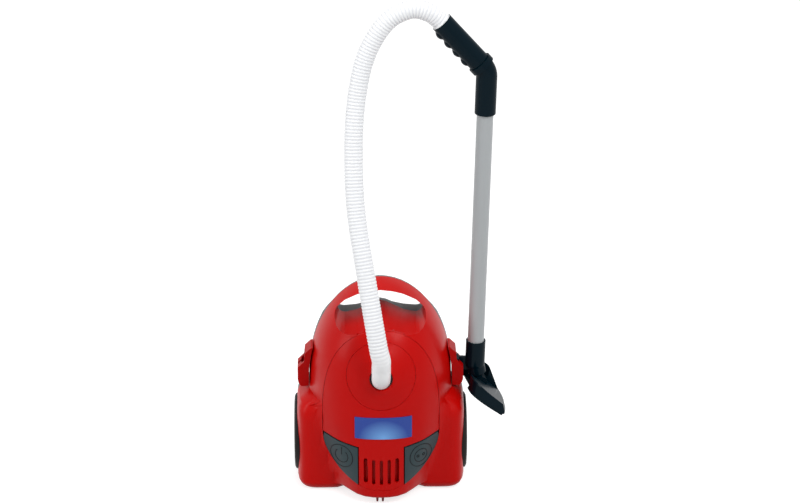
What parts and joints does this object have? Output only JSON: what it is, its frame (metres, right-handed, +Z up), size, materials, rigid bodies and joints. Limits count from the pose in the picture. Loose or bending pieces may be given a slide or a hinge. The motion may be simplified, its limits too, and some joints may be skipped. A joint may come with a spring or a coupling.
{
  "type": "toy vacuum cleaner",
  "caption": "Upright-parked toy canister vacuum with egg-shaped body, carry handle, rear wheels, ribbed hose and a wand with a tilting floor nozzle hung on a side clip.",
  "frame": {"origin": "middle of the flat tail face that the parked canister stands on", "axes": "+X to the right as seen from the front, +Y to the back, +Z up"},
  "size_m": [0.2588, 0.1822, 0.6224],
  "materials": {
    "red_plastic": "gloss",
    "dark_plastic": "satin",
    "grey_plastic": "matte",
    "white_plastic": "satin",
    "label": "gloss",
    "plug_plastic": "satin",
    "steel": "brushed",
    "tyre": "matte",
    "hub_plastic": "satin",
    "cell_metal": "gloss",
    "smoke_plastic": "gloss",
    "filter": "matte",
    "tube_plastic": "satin"
  },
  "bodies": {
    "canister": {"front_shell": "red_plastic", "back_shell": "grey_plastic", "front_panel": "red_plastic", "port_dome": "red_plastic", "label_plate": "label", "power_spring": "steel", "rewind_spring": "steel", "button_bridge": "grey_plastic", "power_switch": "dark_plastic", "parked_plug": "plug_plastic", "left_clip": "red_plastic", "right_clip": "red_plastic", "axle": "steel", "castor_socket": "grey_plastic", "battery_box": "grey_plastic", "battery_cells": "cell_metal", "battery_contacts": "steel", "battery_door": "grey_plastic", "door_screw": "steel", "case_screws": "steel", "motor_cradle": "grey_plastic", "motor": "steel", "fan_housing": "grey_plastic", "dust_chamber": "smoke_plastic", "dust_filter": "filter", "hose_cuff": "white_plastic", "hose": "white_plastic"},
    "left_wheel": {"left_tyre": "tyre", "left_hub": "hub_plastic", "left_cap": "hub_plastic"},
    "right_wheel": {"right_tyre": "tyre", "right_hub": "hub_plastic", "right_cap": "hub_plastic"},
    "castor": {"castor_fork": "grey_plastic", "castor_pin": "steel"},
    "castor_roller": {"castor_wheel": "tyre"},
    "power_button": {"power_button": "dark_plastic"},
    "rewind_button": {"rewind_button": "dark_plastic"},
    "fan": {"motor_shaft": "steel", "fan_impeller": "white_plastic"},
    "wand": {"wand_tube": "tube_plastic", "elbow": "dark_plastic", "grip": "dark_plastic", "wand_neck": "dark_plastic", "hose_end": "white_plastic"},
    "swivel": {"pivot_ball": "dark_plastic"},
    "nozzle": {"nozzle_head": "dark_plastic", "nozzle_sole": "dark_plastic"}
  },
  "joints": [
    {"name": "left_wheel_spin", "type": "hinge", "parent": "canister", "child": "left_wheel", "pos_m": [-0.1, 0.014, 0.053], "axis": [1, 0, 0], "continuous": true},
    {"name": "right_wheel_spin", "type": "hinge", "parent": "canister", "child": "right_wheel", "pos_m": [0.1, 0.014, 0.053], "axis": [1, 0, 0], "continuous": true},
    {"name": "castor_swivel", "type": "hinge", "parent": "canister", "child": "castor", "pos_m": [0, 0.03, 0.188], "axis": [0, 1, 0], "continuous": true},
    {"name": "castor_roll", "type": "hinge", "parent": "castor", "child": "castor_roller", "pos_m": [0, 0.0505, 0.18], "axis": [1, 0, 0], "continuous": true},
    {"name": "power_press", "type": "slide", "parent": "canister", "child": "power_button", "axis": [0, 1, 0], "range_m": [0, 0.003], "stiffness_N_per_m": 200, "deforming": ["power_spring"]},
    {"name": "rewind_press", "type": "slide", "parent": "canister", "child": "rewind_button", "axis": [0, 1, 0], "range_m": [0, 0.003], "stiffness_N_per_m": 200, "deforming": ["rewind_spring"]},
    {"name": "fan_spin", "type": "hinge", "parent": "canister", "child": "fan", "pos_m": [0, -0.022, 0.112], "axis": [0, 1, 0], "continuous": true},
    {"name": "wand_lift", "type": "slide", "parent": "canister", "child": "wand", "axis": [0, 0, 1], "range_m": [0, 0.045], "deforming": ["hose"]},
    {"name": "nozzle_swivel", "type": "hinge", "parent": "wand", "child": "swivel", "pos_m": [0.12028, 0.005, 0.12857], "axis": [-0.1994, 0, 0.9799], "range_deg": [-15, 0]},
    {"name": "nozzle_tilt", "type": "hinge", "parent": "swivel", "child": "nozzle", "pos_m": [0.12028, 0.005, 0.12857], "axis": [-0.2079, 0.9781, 0], "range_deg": [-12, 12]}
  ]
}
